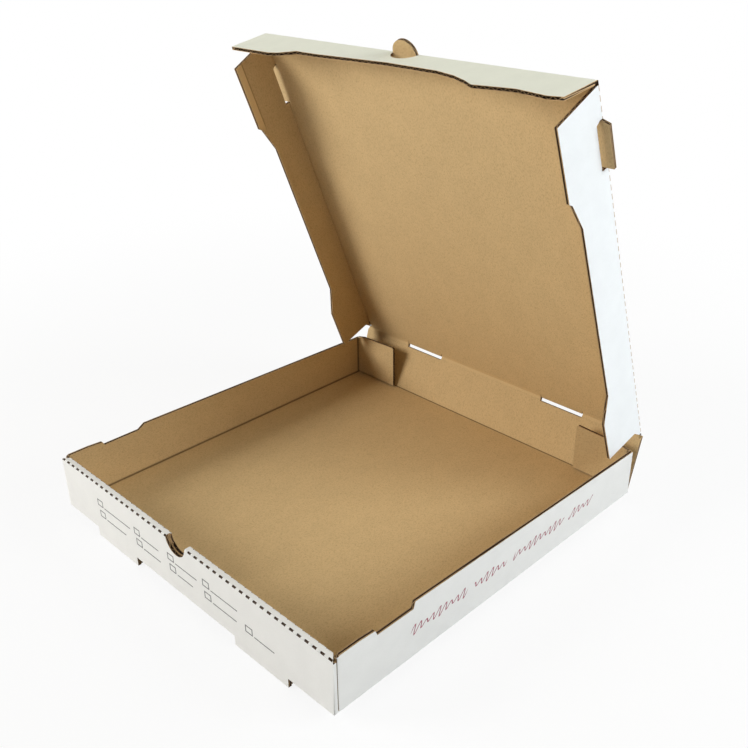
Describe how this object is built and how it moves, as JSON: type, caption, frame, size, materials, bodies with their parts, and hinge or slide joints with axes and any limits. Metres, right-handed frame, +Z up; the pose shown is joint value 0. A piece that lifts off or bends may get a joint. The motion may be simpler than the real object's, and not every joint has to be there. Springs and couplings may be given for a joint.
{
  "type": "pizza box",
  "caption": "Corrugated board pizza box standing open, with a shallow tray, a hinged lid with tuck flaps and a half-round thumb notch.",
  "frame": {"origin": "middle of the underside of the tray's floor", "axes": "+X along the front wall, to the right seen from the front; +Y from the front wall to the rear wall; +Z up"},
  "size_m": [0.3678, 0.3938, 0.4116],
  "materials": {
    "board": "matt"
  },
  "bodies": {
    "tray": {"tray": "board"},
    "rear_wall": {"rear_wall": "board"},
    "lid": {"lid": "board"},
    "front_flap": {"lid_front_flap": "board"},
    "left_flap": {"lid_left_flap": "board"},
    "right_flap": {"lid_right_flap": "board"}
  },
  "joints": [
    {"name": "rear_wall_crease", "type": "hinge", "parent": "tray", "child": "rear_wall", "pos_m": [0, 0.189, 0], "axis": [1, 0, 0], "range_deg": [-27.5, 16.3]},
    {"name": "lid_crease", "type": "hinge", "parent": "rear_wall", "child": "lid", "pos_m": [0, 0.20483, 0.05413], "axis": [1, 0, 0], "range_deg": [-88, 52.3]},
    {"name": "front_flap_crease", "type": "hinge", "parent": "lid", "child": "front_flap", "pos_m": [0, 0.07274, 0.39117], "axis": [1, 0, 0], "range_deg": [-78.5, 11.5]},
    {"name": "left_flap_crease", "type": "hinge", "parent": "lid", "child": "left_flap", "pos_m": [-0.1774, 0.20483, 0.05413], "axis": [0, -0.3649, 0.9311], "range_deg": [-90, 8]},
    {"name": "right_flap_crease", "type": "hinge", "parent": "lid", "child": "right_flap", "pos_m": [0.1774, 0.20483, 0.05413], "axis": [0, 0.3649, -0.9311], "range_deg": [-95, 3]}
  ],
  "couplings": [
    {"joint": "rear_wall_crease", "follows": "lid_crease", "ratio": 0.3116}
  ]
}
